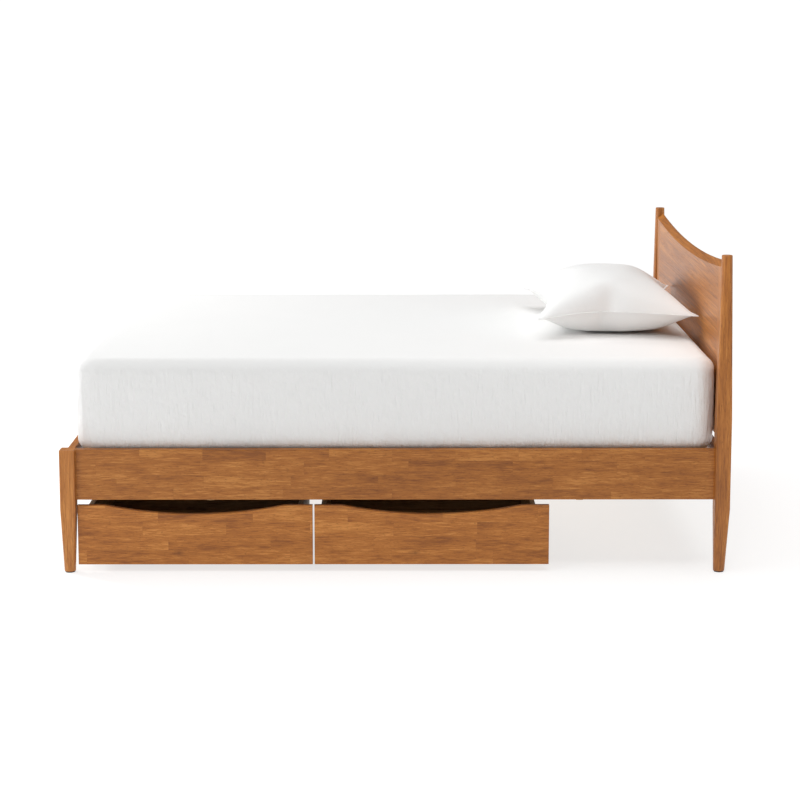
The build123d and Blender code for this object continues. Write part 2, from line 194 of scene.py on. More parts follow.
# =====================================================================
# Materials
# =====================================================================
def wood_finish(name, grain_axis, face_axis, colours, stave=None, figure=0.5, pores=0.6, tone=0.5,
                knots=(), shift=(0.0, 0.0), roughness=0.38, gloss=0.42, stretch=1.0):
    """Stained wood with its grain along one axis. face_axis runs across the grain on the wide face.

    colours are dark, middle and light. A stave is the length and height of one glued block.
    A stretch under 1 draws the grain out into longer lines.
    """
    finish = Finish(name)
    x, y, z = finish.place()
    axes = {"X": x, "Y": y, "Z": z}
    along = (axes[grain_axis] + shift[0]) * stretch
    across = axes[face_axis] + shift[1]
    through = axes[({"X", "Y", "Z"} - {grain_axis, face_axis}).pop()]
    dark, middle, light = colours
    if stave:
        stave_length, stave_height = stave
        row = (across / stave_height).floor()
        row_random = finish.random(finish.vector(row, 3.7, 1.3))
        run = along / (row_random * (stave_length * 0.6) + stave_length * 0.72) + row_random * 11.3
        column = run.floor()
        block = finish.random(finish.vector(row, column, 5.1))
        block_twin = finish.random(finish.vector(column, row, 9.4))
        row_edge = ((across / stave_height).fraction() - 0.5).absolute()
        end_edge = (run.fraction() - 0.5).absolute()
        seams = row_edge.above(0.488, 0.012) * 0.3 + end_edge.above(0.497, 0.003) * 0.4
    else:
        block = finish.noise(finish.vector(along * 0.9, across * 5, through * 5))
        block_twin = block * 0.5
        seams = None
    ring_turn, bow_turn = 150, 40  # radians in a metre across the grain, and along the bow
    cloud_cells, ribbon_cells, fibre_cells, pore_cells = 19, 120, 420, 410  # in a metre across the grain
    # Growth rings cut by the face: a long bow of lines that noise bends.
    wander = finish.noise(
        finish.vector(along * 2.6 + block * 31, across * 8 + block_twin * 17, through * 8), detail=3.0
    )
    bow = along - 0.12 * (block_twin - 0.5)
    rings = (
        (across + block * 0.31) * ring_turn + (bow * bow) * (block - 0.5) * (bow_turn * figure)
        + wander * (14 + 22 * figure)
    ).sine()
    rings = (rings * 0.5 + 0.5) ** 2.2
    # Broad clouds, ribbons and fine fibres, with short dark pores along the grain.
    cloud = finish.noise(
        finish.vector(along * 5 + block * 7, across * cloud_cells + block_twin * 5, through * cloud_cells),
        detail=3.0,
    )
    ribbon = finish.noise(
        finish.vector(along * 14 + block * 23, across * ribbon_cells, through * ribbon_cells),
        detail=3.0, roughness=0.6,
    )
    fibre_point = finish.vector(along * 26 + block * 13, across * fibre_cells, through * fibre_cells)
    fibres = finish.noise(fibre_point, detail=2.0, roughness=0.6)
    pore_point = finish.vector(along * 95 + block_twin * 29, across * pore_cells, through * pore_cells)
    pore = finish.noise(pore_point, detail=1.0).above(0.6, 0.1) * pores
    shade = (
        (block - 0.5) * (0.5 * tone) + (cloud - 0.5) * 0.95 + (ribbon - 0.5) * 0.85
        + (fibres - 0.5) * 1.3 - rings * (0.3 * figure) + (0.5 + 0.09 * figure)
    )
    knot_mark = None
    for knot_along, knot_across, knot_size in knots:
        reach = (
            ((along - knot_along) * 0.75) ** 2 + (across - knot_across) * (across - knot_across)
        ) ** 0.5
        whirl = finish.noise(finish.vector(along * 60, across * 90, through * 60), detail=3.0)
        ring = (reach * (1 / knot_size) + whirl * 0.9).below(0.85, 0.75)
        heart = (reach * (1 / knot_size) + whirl * 0.5).below(0.35, 0.3)
        spot = ring * 0.35 + heart * 0.5
        knot_mark = spot if knot_mark is None else knot_mark + spot
    colour = finish.mix(ramp(finish.tree, shade, 0.05, 0.52), dark, middle)
    colour = finish.mix(ramp(finish.tree, shade, 0.48, 0.95), colour, light)
    deep = tuple(channel * 0.4 for channel in dark[:3]) + (1.0,)
    colour = finish.mix(pore * 0.6, colour, deep)
    if seams is not None:
        colour = finish.mix(seams * 0.4, colour, deep)
    if knot_mark is not None:
        colour = finish.mix(knot_mark * 0.6, colour, deep)
    height = fibres * 0.35 - pore * 0.8 + ribbon * 0.2
    if seams is not None:
        height = height - seams * 0.4
    return finish.surface(
        colour=colour,
        roughness=(fibres - 0.5) * 0.22 + pore * 0.12 + roughness,
        height=height,
        depth=0.00022,
        specular_ior_level=gloss,
    )


def cotton_finish(name, colour, thread, crease=0.5, side_top=None):
    """Plain-woven cotton, whose threads follow the piece's own UV map, in metres.

    Below the height side_top, the cloth also has the fine upright creases of a stretched side.
    """
    finish = Finish(name)
    u, v, _ = finish.place("UV")
    x, y, z = finish.place()
    turn = 2 * math.pi / thread
    weave = (u * turn).sine() * (v * turn).sine() * 0.5 + (u * (turn * 0.5)).sine() * 0.2
    slub = finish.noise(finish.vector(u * 35, v * 900, 0.0), detail=2.0)
    slub_twin = finish.noise(finish.vector(u * 900, v * 35, 4.0), detail=2.0)
    crumple = finish.noise(finish.vector(u * 30, v * 24, 1.0), detail=6.0, roughness=0.66)
    soft = finish.noise(finish.vector(u * 6, v * 4.5, 2.0), detail=3.0)
    bright = tuple(min(1.0, channel * 1.02) for channel in colour[:3]) + (1.0,)
    dull = tuple(channel * 0.95 for channel in colour[:3]) + (1.0,)
    height = weave * 0.04 + (slub + slub_twin) * 0.05 + crumple * crease + soft * crease
    if side_top is not None:
        side = 1 - z.above(side_top - 0.05, 0.04)
        upright = finish.noise(finish.vector((x + y) * 70, (x - y) * 70, z * 13), detail=4.0, roughness=0.6)
        slanted = finish.noise(finish.vector(x * 22 + z * 14, y * 22 + z * 14, z * 20), detail=4.0)
        height = height + side * (upright * 4.4 + slanted * 4.0)
    return finish.surface(
        colour=finish.mix((slub + slub_twin) * 0.35 + soft * 0.3, dull, bright),
        roughness=slub * 0.1 + 0.82,
        height=height,
        depth=0.0013,
        sheen_weight=0.25,
        sheen_roughness=0.45,
        specular_ior_level=0.25,
    )


def ticking_finish(name):
    """Stretch knit with small raised dots, for the mattress under the sheet."""
    finish = Finish(name)
    x, y, z = finish.place()
    cell = 0.012
    dots = ((x * (2 * math.pi / cell)).sine() * (y * (2 * math.pi / cell)).sine()).above(0.35, 0.4)
    knit = finish.noise(finish.vector(x * 700, y * 700, z * 700), detail=1.0)
    stripe = 0.009
    stripes = (z * (2 * math.pi / stripe)).sine() * 0.5 + 0.5
    return finish.surface(
        colour=finish.mix(dots * 0.4 + stripes * 0.2, linear(222, 220, 214), linear(205, 204, 202)),
        roughness=knit * 0.12 + 0.82,
        height=dots * 0.5 + knit * 0.2,
        depth=0.0009,
        sheen_weight=0.2,
    )


def metal_finish(name, colour, roughness, metallic, spangle):
    """Sheet steel: a plated one with faint spangle, or a powder-coated one with orange peel."""
    finish = Finish(name)
    x, y, z = finish.place()
    grain = finish.noise(finish.vector(x, y, z), scale=spangle, detail=3.0)
    worn = finish.noise(finish.vector(x, y, z), scale=38.0, detail=4.0)
    dull = tuple(channel * 0.72 for channel in colour[:3]) + (1.0,)
    return finish.surface(
        colour=finish.mix(grain * 0.6 + worn * 0.3, colour, dull),
        roughness=grain * 0.18 + worn * 0.1 + (roughness - 0.12),
        height=grain,
        depth=0.00006,
        metallic=metallic,
    )


def rubber_finish(name, colour, roughness):
    """Moulded black plastic or rubber with a fine matt texture and a little dust."""
    finish = Finish(name)
    x, y, z = finish.place()
    point = finish.vector(x, y, z)
    pebble = finish.noise(point, scale=2600.0, detail=2.0)
    dust = finish.noise(point, scale=60.0, detail=4.0)
    dusty = tuple(channel + 0.035 for channel in colour[:3]) + (1.0,)
    return finish.surface(
        colour=finish.mix(dust.above(0.45, 0.3), colour, dusty),
        roughness=pebble * 0.15 + dust * 0.1 + (roughness - 0.12),
        height=pebble,
        depth=0.00008,
    )


# =====================================================================
# Pieces
# =====================================================================
def add_piece(name, mesh, body):
    """An object at the origin for a mesh, riding on a body."""
    piece = bpy.data.objects.new(name, mesh)
    bpy.context.scene.collection.objects.link(piece)
    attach(piece, body)
    return piece


def make_piece(name, vertices, faces, body, material, flat_places=None):
    """A mesh piece at the origin that rides on a body. flat_places gives each face its UV corners."""
    mesh = bpy.data.meshes.new(name)
    mesh.from_pydata(vertices, [], faces)
    mesh.update()
    if flat_places:
        layer = mesh.uv_layers.new(name="UVMap")
        for polygon, places in zip(mesh.polygons, flat_places):
            for loop, place in zip(polygon.loop_indices, places):
                layer.data[loop].uv = place
    mesh.polygons.foreach_set("use_smooth", [True] * len(mesh.polygons))
    mesh.materials.append(material)
    return add_piece(name, mesh, body)


def finish_nodes(material, *names):
    """Gives CAD nodes one material in their own slots."""
    for name in names:
        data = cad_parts[name].data
        data.materials.clear()
        data.materials.append(material)


def round_pair(first, second, radius):
    """Two distances from the faces at an edge, moved onto the edge's rounding."""
    centre = Vector((max(first, radius), max(second, radius)))
    reach = Vector((first, second)) - centre
    if reach.length < 1e-9:
        return first, second
    placed = centre + reach.normalized() * radius
    return placed.x, placed.y


class BoxedCover:
    """A grid over a rounded block: its top, its sides and a flap turned in under it."""

    def __init__(self, half_x, half_y, bottom, top, corner, top_edge, bottom_edge, cell, flap):
        self.half_x, self.half_y, self.bottom, self.top = half_x, half_y, bottom, top
        self.corner, self.top_edge, self.bottom_edge, self.flap = corner, top_edge, bottom_edge, flap
        self.columns = round(2 * half_x / cell)
        self.rows = round(2 * half_y / cell)
        self.layers = round((top - bottom) / cell)
        self.vertices, self.faces, self.flat = [], [], []
        self.found = {}

    def block_point(self, i, j, k):
        return (
            self.half_x * (2 * i / self.columns - 1),
            self.half_y * (2 * j / self.rows - 1),
            self.bottom + (self.top - self.bottom) * k / self.layers,
        )

    def place(self, i, j, k):
        """A grid point of the square block, moved onto the rounded block."""
        x, y, z = self.block_point(i, j, k)
        inset = min(self.half_x - abs(x), self.half_y - abs(y))
        new_inset, from_top = round_pair(inset, self.top - z, self.top_edge)
        if from_top > self.top_edge - 1e-9:
            new_inset, from_bottom = round_pair(inset, z - self.bottom, self.bottom_edge)
            z = self.bottom + from_bottom
        else:
            z = self.top - from_top
        x *= (self.half_x - new_inset) / max(self.half_x - inset, 1e-9)
        y *= (self.half_y - new_inset) / max(self.half_y - inset, 1e-9)
        radius = max(self.corner - new_inset, 0.0)
        limit_x = self.half_x - new_inset - radius
        limit_y = self.half_y - new_inset - radius
        core = Vector((max(-limit_x, min(limit_x, x)), max(-limit_y, min(limit_y, y))))
        reach = Vector((x, y)) - core
        if reach.length > 1e-9 and radius > 0:
            core += reach.normalized() * min(radius, max(abs(reach.x), abs(reach.y)))
            return Vector((core.x, core.y, z))
        return Vector((x, y, z))

    def vertex(self, i, j, k):
        key = (i, j, k)
        if key not in self.found:
            self.found[key] = len(self.vertices)
            self.vertices.append(self.place(i, j, k))
        return self.found[key]

    def flat_place(self, i, j, k, side):
        """Where a grid point lies on the flat cloth, in metres."""
        x, y, z = self.block_point(i, j, k)
        fall = self.top - z
        if side in ("left", "right"):
            return (x, math.copysign(abs(y) + fall, y))
        if side in ("head", "foot"):
            return (math.copysign(abs(x) + fall, x), y)
        return (x, y)

    def quad(self, side, *corners):
        self.faces.append([self.vertex(*corner) for corner in corners])
        self.flat.append([self.flat_place(*corner, side) for corner in corners])

    def build(self):
        last_i, last_j, last_k = self.columns, self.rows, self.layers
        for i in range(last_i):
            for j in range(last_j):
                corners = ((i, j), (i + 1, j), (i + 1, j + 1), (i, j + 1))
                self.quad("top", *((*corner, last_k) for corner in corners))
                x = self.half_x * (2 * (i + 0.5) / last_i - 1)
                y = self.half_y * (2 * (j + 0.5) / last_j - 1)
                if min(self.half_x - abs(x), self.half_y - abs(y)) < self.flap:
                    self.quad("top", *((*corner, 0) for corner in reversed(corners)))
        for k in range(last_k):
            for i in range(last_i):
                self.quad("right", (i, 0, k), (i + 1, 0, k), (i + 1, 0, k + 1), (i, 0, k + 1))
                self.quad("left", (i + 1, last_j, k), (i, last_j, k),
                          (i, last_j, k + 1), (i + 1, last_j, k + 1))
            for j in range(last_j):
                self.quad("foot", (0, j + 1, k), (0, j, k), (0, j, k + 1), (0, j + 1, k + 1))
                self.quad("head", (last_i, j, k), (last_i, j + 1, k),
                          (last_i, j + 1, k + 1), (last_i, j, k + 1))
        return self


def wavering(x, y, z=0.0):
    """Smooth noise between -1 and 1 at a place."""
    return noise.noise(Vector((x, y, z)))


# =====================================================================
# Settings that a user would change
# =====================================================================
def length_setting(name, description, default):
    return FloatProperty(name=name, description=description, default=default,
                         unit="LENGTH", subtype="DISTANCE")


def colour_setting(name, description, default):
    return FloatVectorProperty(name=name, description=description, default=default[:3], size=3,
                               min=0.0, max=1.0, subtype="COLOR")


class WoodSettings(bpy.types.PropertyGroup):
    dark: colour_setting("Dark stain", "Colour of the darkest grain", linear(134, 75, 20))
    middle: colour_setting("Stain", "Colour of most of the wood", linear(169, 102, 35))
    light: colour_setting("Light stain", "Colour of the palest grain", linear(198, 131, 60))
    stave_length: length_setting("Stave length", "Length of one glued block of a board", 0.27)
    stave_height: length_setting("Stave height", "Height of one glued block of a board", 0.046)


class BeddingSettings(bpy.types.PropertyGroup):
    cotton: colour_setting("Cotton", "Colour of the sheet and the pillowcase", linear(247, 247, 246))
    thread: length_setting("Thread spacing", "Distance between two threads of the weave", 0.0008)
    sheet_cell: length_setting("Sheet mesh", "Size of one face of the sheet", 0.0095)
    hem_depth: length_setting("Tucked hem", "How far the sheet turns in under the mattress", 0.085)
    case_width: length_setting("Pillowcase width", "Flat width of the pillowcase", 0.60)
    case_length: length_setting("Pillowcase length", "Flat length of the pillowcase", 0.85)


class HardwareSettings(bpy.types.PropertyGroup):
    screw_head: length_setting("Screw head", "Radius of a screw head", 0.0038)
    screw_sides: IntProperty(name="Screw sides", description="Sides of a screw head's outline", default=14)


class BedSettings(bpy.types.PropertyGroup):
    wood: PointerProperty(type=WoodSettings)
    bedding: PointerProperty(type=BeddingSettings)
    hardware: PointerProperty(type=HardwareSettings)
    simulate: BoolProperty(name="Simulate cloth", description="Inflate the pillow by cloth simulation",
                           default=True)


def stain_colours(wood, lift=1.0):
    """Dark, middle and light stain, made lighter or darker by one factor."""
    return [tuple(min(1.0, channel * lift) for channel in colour) + (1.0,)
            for colour in (wood.dark, wood.middle, wood.light)]


# =====================================================================
# Operators
# =====================================================================
class BED_OT_stage(bpy.types.Operator):
    """Set up the floor, the soft studio light and the camera"""

    bl_idname = "bed.stage"
    bl_label = "Stage"
    ambient = 0.2

    def execute(self, context):
        scene = context.scene
        floor_finish = Finish("floor_white")
        x, y, _ = floor_finish.place()
        mottle = floor_finish.noise(floor_finish.vector(x, y), scale=30.0, detail=4.0)
        floor_finish.surface(
            colour=floor_finish.mix(mottle, (0.40, 0.40, 0.40, 1), (0.42, 0.42, 0.42, 1)),
            roughness=0.95, specular_ior_level=0.0,
            emission_color=(1.0, 1.0, 1.0, 1.0), emission_strength=0.70,
        )
        mesh = bpy.data.meshes.new("floor")
        reach = 60.0
        mesh.from_pydata([(-reach, -reach, 0), (reach, -reach, 0), (reach, reach, 0), (-reach, reach, 0)],
                         [], [(0, 1, 2, 3)])
        mesh.materials.append(floor_finish.material)
        floor = bpy.data.objects.new("floor", mesh)
        scene.collection.objects.link(floor)

        scene.view_settings.view_transform = "Standard"
        world = bpy.data.worlds.new("studio")
        world.use_nodes = True
        tree = world.node_tree
        background = tree.nodes["Background"]
        background.inputs["Color"].default_value = (1.0, 1.0, 1.0, 1.0)
        path = tree.nodes.new("ShaderNodeLightPath")
        strength = Value(tree, path.outputs["Is Camera Ray"]) * (1.1 - self.ambient) + self.ambient
        connect(tree, strength, background.inputs["Strength"])
        scene.world = world

        sun = bpy.data.lights.new("overhead", "SUN")
        sun.energy = 1.9
        sun.angle = math.radians(70)
        overhead = bpy.data.objects.new("overhead", sun)
        overhead.rotation_euler = (math.radians(-6), math.radians(-10), 0.0)
        scene.collection.objects.link(overhead)
        self.add_light(scene, "key", (-3.9, 1.35, 1.83), (1.0, 0.0, 0.75), 0.9, 102.0)
        self.add_light(scene, "fill", (-2.1, -2.8, 1.0), (-0.6, -0.8, 0.45), 1.5, 11.0)
        self.add_light(scene, "pillow_light", (0.9, -1.7, 2.1), (0.75, -0.35, 0.85), 0.5, 7.0)

        camera = bpy.data.cameras.new("camera")
        camera.sensor_width = 36.0
        camera.lens = 88.43
        camera.shift_y = -0.12
        eye = bpy.data.objects.new("camera", camera)
        eye.location = (0.0019, -6.879, 1.7415)
        eye.rotation_euler = (math.radians(90 - 8.2137), 0.0, math.radians(-0.126))
        scene.collection.objects.link(eye)
        scene.camera = eye
        return {"FINISHED"}

    def add_light(self, scene, name, place, target, size, power):
        light = bpy.data.lights.new(name, "AREA")
        light.size = size
        light.energy = power
        lamp = bpy.data.objects.new(name, light)
        lamp.location = place
        lamp.rotation_euler = (Vector(target) - Vector(place)).to_track_quat("-Z", "Y").to_euler()
        lamp.visible_camera = False
        scene.collection.objects.link(lamp)


class BED_OT_frame_wood(bpy.types.Operator):
    """Stain the rails, the posts and the headboard"""

    bl_idname = "bed.frame_wood"
    bl_label = "Frame wood"

    def execute(self, context):
        wood = context.scene.bed.wood
        stave = (wood.stave_length, wood.stave_height)
        colours = stain_colours(wood)
        for number, side in enumerate(("right", "left")):
            rail = wood_finish(f"side_rail_wood_{side}", "X", "Z", colours, stave, figure=0.35,
                               tone=0.5, shift=(0.13 + number * 2.9, 0.007))
            finish_nodes(rail, f"side_rail_{side}")
            post = wood_finish(f"post_wood_{side}", "Z", "X", stain_colours(wood, 1.1), figure=0.35,
                               tone=0.3, stretch=0.5, gloss=0.5, shift=(0.4 + number, 0.21))
            finish_nodes(post, f"headboard_post_{side}", f"foot_post_{side}")
            band = wood_finish(f"end_band_wood_{side}", "Z", "Y", stain_colours(wood, 1.16), figure=0.3,
                               tone=0.3, stretch=0.5, gloss=0.5, shift=(1.4 + number, 0.33))
            finish_nodes(band, f"headboard_end_band_{side}")
        for number, end in enumerate(("foot", "head")):
            rail = wood_finish(f"{end}_rail_wood", "Y", "Z", colours, stave, figure=0.35, tone=0.5,
                               shift=(4.1 + number * 1.7, 0.004))
            finish_nodes(rail, f"{end}_rail")
        panel = wood_finish("headboard_panel_wood", "Y", "Z", stain_colours(wood, 1.08), figure=0.9,
                            tone=0.25, shift=(0.0, 0.0), pores=0.4, stretch=0.2, gloss=0.5)
        finish_nodes(panel, "headboard_panel")
        return {"FINISHED"}


class BED_OT_base_wood(bpy.types.Operator):
    """Finish the slats, the cleats, the centre beam and its legs in plain pale wood"""

    bl_idname = "bed.base_wood"
    bl_label = "Slat base wood"

    def execute(self, context):
        pale = [linear(176, 140, 92), linear(208, 174, 124), linear(226, 198, 152)]
        slats = sorted(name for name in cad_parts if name.startswith("slat_") and name[5:].isdigit())
        for number, name in enumerate(slats):
            finish_nodes(
                wood_finish(f"{name}_pine", "Y", "X", pale, figure=0.8, tone=0.2, pores=0.15,
                            shift=(number * 0.731, number * 0.217), roughness=0.6),
                name,
            )
        for name, axes, figure, nodes in (
            ("beam", "XZ", 0.7, ("centre_beam", "slat_cleat_right", "slat_cleat_left")),
            ("leg", "ZX", 0.6, ("centre_leg_1", "centre_leg_2", "centre_leg_3", "cleat_blocks")),
        ):
            pine = wood_finish(f"{name}_pine", *axes, pale, figure=figure, tone=0.2, pores=0.15,
                               roughness=0.6)
            finish_nodes(pine, *nodes)
        return {"FINISHED"}


class BED_OT_drawer_wood(bpy.types.Operator):
    """Stain the drawer fronts and finish the drawer boxes, whose wood is darkened as painted shade inside the
    drawers
    """

    bl_idname = "bed.drawer_wood"
    bl_label = "Drawer wood"

    def execute(self, context):
        wood = context.scene.bed.wood
        stave = (wood.stave_length, wood.stave_height)
        # The box wood is a dark brown, well below pale wood: painted shade, so the insides of the drawers
        # read dark.
        box = [linear(92, 70, 50), linear(122, 98, 74), linear(142, 118, 92)]
        for number, drawer in enumerate(DRAWERS):
            low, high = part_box(f"{drawer}_front")
            knot = (low.x + 0.43 * (high.x - low.x), low.z + 0.31 * (high.z - low.z), 0.016)
            front = wood_finish(f"{drawer}_front_wood", "X", "Z", stain_colours(wood, 1.14), stave,
                                figure=0.4, tone=0.45, knots=[knot], shift=(0.0, 0.023))
            finish_nodes(front, f"{drawer}_front")
            for part, axes, figure, tone, pores, start, roughness, nodes in (
                ("side", "YZ", 0.5, 0.3, 0.3, number * 1.3, 0.55, ("foot_side", "head_side")),
                ("back", "XZ", 0.5, 0.3, 0.3, 0.0, 0.55, ("back",)),
                ("bottom", "XY", 1.0, 0.2, 0.2, 0.0, 0.6, ("bottom",)),
            ):
                board = wood_finish(f"{drawer}_{part}_wood", *axes, box, figure=figure, tone=tone,
                                    pores=pores, shift=(start, 0.0), roughness=roughness)
                finish_nodes(board, *(f"{drawer}_{node}" for node in nodes))
        return {"FINISHED"}


class BED_OT_fittings(bpy.types.Operator):
    """Finish the steel brackets, the bolts, the casters and the glides"""

    bl_idname = "bed.fittings"
    bl_label = "Fittings"

    def execute(self, context):
        powder_coat = metal_finish("black_powder_coat", (0.018, 0.018, 0.019, 1), 0.55, 0.0, 1400.0)
        zinc = metal_finish("zinc_plate", (0.55, 0.56, 0.57, 1), 0.36, 1.0, 160.0)
        finish_nodes(powder_coat, "corner_brackets", "beam_hangers")
        finish_nodes(zinc, "bracket_bolts", "slat_screws")
        finish_nodes(rubber_finish("glide_plastic", (0.012, 0.012, 0.013, 1), 0.5), "leg_glides")
        tyre = rubber_finish("wheel_rubber", (0.02, 0.02, 0.021, 1), 0.62)
        for drawer in DRAWERS:
            finish_nodes(zinc, f"{drawer}_caster_forks", f"{drawer}_caster_axles")
            finish_nodes(tyre, *[f"{drawer}_wheel_{number}" for number in range(1, 5)])
        return {"FINISHED"}


class BED_OT_screws(bpy.types.Operator):
    """Set wood screws through the caster plates and the slat cleats, by Geometry Nodes"""

    bl_idname = "bed.screws"
    bl_label = "Screws"

    def execute(self, context):
        hardware = context.scene.bed.hardware
        steel = metal_finish("screw_steel", (0.42, 0.42, 0.43, 1), 0.34, 1.0, 300.0)
        tree = screw_tree(hardware.screw_head, hardware.screw_sides, steel)
        plate_inset, head_sink, cleat_screw_drop = 0.007, 0.002, 0.004
        for drawer in DRAWERS:
            places = []
            fork_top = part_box(f"{drawer}_caster_forks")[1].z
            half_plate = Vector((0.022, 0.024))
            for number in range(1, 5):
                low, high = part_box(f"{drawer}_wheel_{number}")
                middle = (low + high) / 2
                for side_x in (-1, 1):
                    for side_y in (-1, 1):
                        places.append((
                            middle.x + side_x * (half_plate.x - plate_inset * 0.8),
                            middle.y + side_y * (half_plate.y - plate_inset),
                            fork_top - head_sink,
                        ))
            grow_screws(f"{drawer}_caster_screws", places, (math.pi, 0.0, 0.0), tree, drawer)
        for side in ("right", "left"):
            low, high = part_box(f"slat_cleat_{side}")
            sign = -1 if side == "right" else 1
            inner_y = low.y if sign > 0 else high.y
            count = 9
            places = [
                (low.x + (high.x - low.x) * (number + 0.5) / count, inner_y,
                 (low.z + high.z) / 2 - cleat_screw_drop)
                for number in range(count)
            ]
            turn = (math.pi / 2 * sign, 0.0, 0.0)
            grow_screws(f"cleat_screws_{side}", places, turn, tree, FRAME_BODY)
        return {"FINISHED"}


def screw_tree(radius, sides, material):
    """A node group that puts a domed, cross-slotted screw head on each point of a mesh."""
    tree = bpy.data.node_groups.new("screw_heads", "GeometryNodeTree")
    face = tree.interface
    face.new_socket("Places", in_out="INPUT", socket_type="NodeSocketGeometry")
    for name, default in (("Head radius", radius), ("Head height", radius * 0.5)):
        socket = face.new_socket(name, in_out="INPUT", socket_type="NodeSocketFloat")
        socket.default_value = default
    socket = face.new_socket("Sides", in_out="INPUT", socket_type="NodeSocketInt")
    socket.default_value = sides
    face.new_socket("Turn", in_out="INPUT", socket_type="NodeSocketVector")
    face.new_socket("Screws", in_out="OUTPUT", socket_type="NodeSocketGeometry")
    node, link = tree.nodes.new, tree.links.new
    given = node("NodeGroupInput")
    head = node("GeometryNodeMeshCone")
    link(given.outputs["Sides"], head.inputs["Vertices"])
    link(given.outputs["Head radius"], head.inputs["Radius Bottom"])
    link(given.outputs["Head height"], head.inputs["Depth"])
    head_radius = Value(tree, given.outputs["Head radius"])
    connect(tree, head_radius * 0.55, head.inputs["Radius Top"])
    bars = []
    for long_axis in ("X", "Y"):
        bar = node("GeometryNodeMeshCube")
        size = node("ShaderNodeCombineXYZ")
        for axis in "XYZ":
            connect(tree, head_radius * (0.8 if axis == long_axis else 0.16), size.inputs[axis])
        link(size.outputs[0], bar.inputs["Size"])
        raise_bar = node("GeometryNodeTransform")
        lift = node("ShaderNodeCombineXYZ")
        link(given.outputs["Head height"], lift.inputs["Z"])
        link(lift.outputs[0], raise_bar.inputs["Translation"])
        link(bar.outputs["Mesh"], raise_bar.inputs["Geometry"])
        bars.append(raise_bar)
    join = node("GeometryNodeJoinGeometry")
    link(head.outputs["Mesh"], join.inputs[0])
    for bar in bars:
        link(bar.outputs[0], join.inputs[0])
    scatter = node("GeometryNodeInstanceOnPoints")
    link(given.outputs["Places"], scatter.inputs["Points"])
    link(join.outputs[0], scatter.inputs["Instance"])
    link(given.outputs["Turn"], scatter.inputs["Rotation"])
    realize = node("GeometryNodeRealizeInstances")
    link(scatter.outputs[0], realize.inputs[0])
    paint = node("GeometryNodeSetMaterial")
    paint.inputs["Material"].default_value = material
    link(realize.outputs[0], paint.inputs["Geometry"])
    result = node("NodeGroupOutput")
    link(paint.outputs[0], result.inputs[0])
    return tree


def grow_screws(name, places, turn, tree, body):
    """Runs the screw group on some points, and keeps its result as a plain mesh."""
    seed_mesh = bpy.data.meshes.new(f"{name}_places")
    seed_mesh.from_pydata(places, [], [])
    seed = bpy.data.objects.new(f"{name}_places", seed_mesh)
    bpy.context.scene.collection.objects.link(seed)
    modifier = seed.modifiers.new("Screws", "NODES")
    modifier.node_group = tree
    inputs = {item.name: item.identifier for item in tree.interface.items_tree
              if item.in_out == "INPUT"}
    modifier[inputs["Turn"]] = turn
    bpy.context.view_layer.update()
    evaluated = seed.evaluated_get(bpy.context.evaluated_depsgraph_get())
    mesh = bpy.data.meshes.new_from_object(evaluated)
    mesh.name = name
    bpy.data.objects.remove(seed)
    add_piece(name, mesh, body)


class BED_OT_mattress(bpy.types.Operator):
    """Make the mattress under the sheet, with its rounded edges"""

    bl_idname = "bed.mattress"
    bl_label = "Mattress"

    def execute(self, context):
        low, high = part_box("mattress")
        inset = 0.0015
        cover = BoxedCover(high.x - inset, high.y - inset, low.z + inset, high.z - inset,
                           corner=0.064, top_edge=0.036, bottom_edge=0.045, cell=0.024, flap=9.0).build()
        mattress = make_piece("mattress_core", cover.vertices, cover.faces, FRAME_BODY,
                              ticking_finish("ticking"))
        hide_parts("mattress")
        return {"FINISHED"}


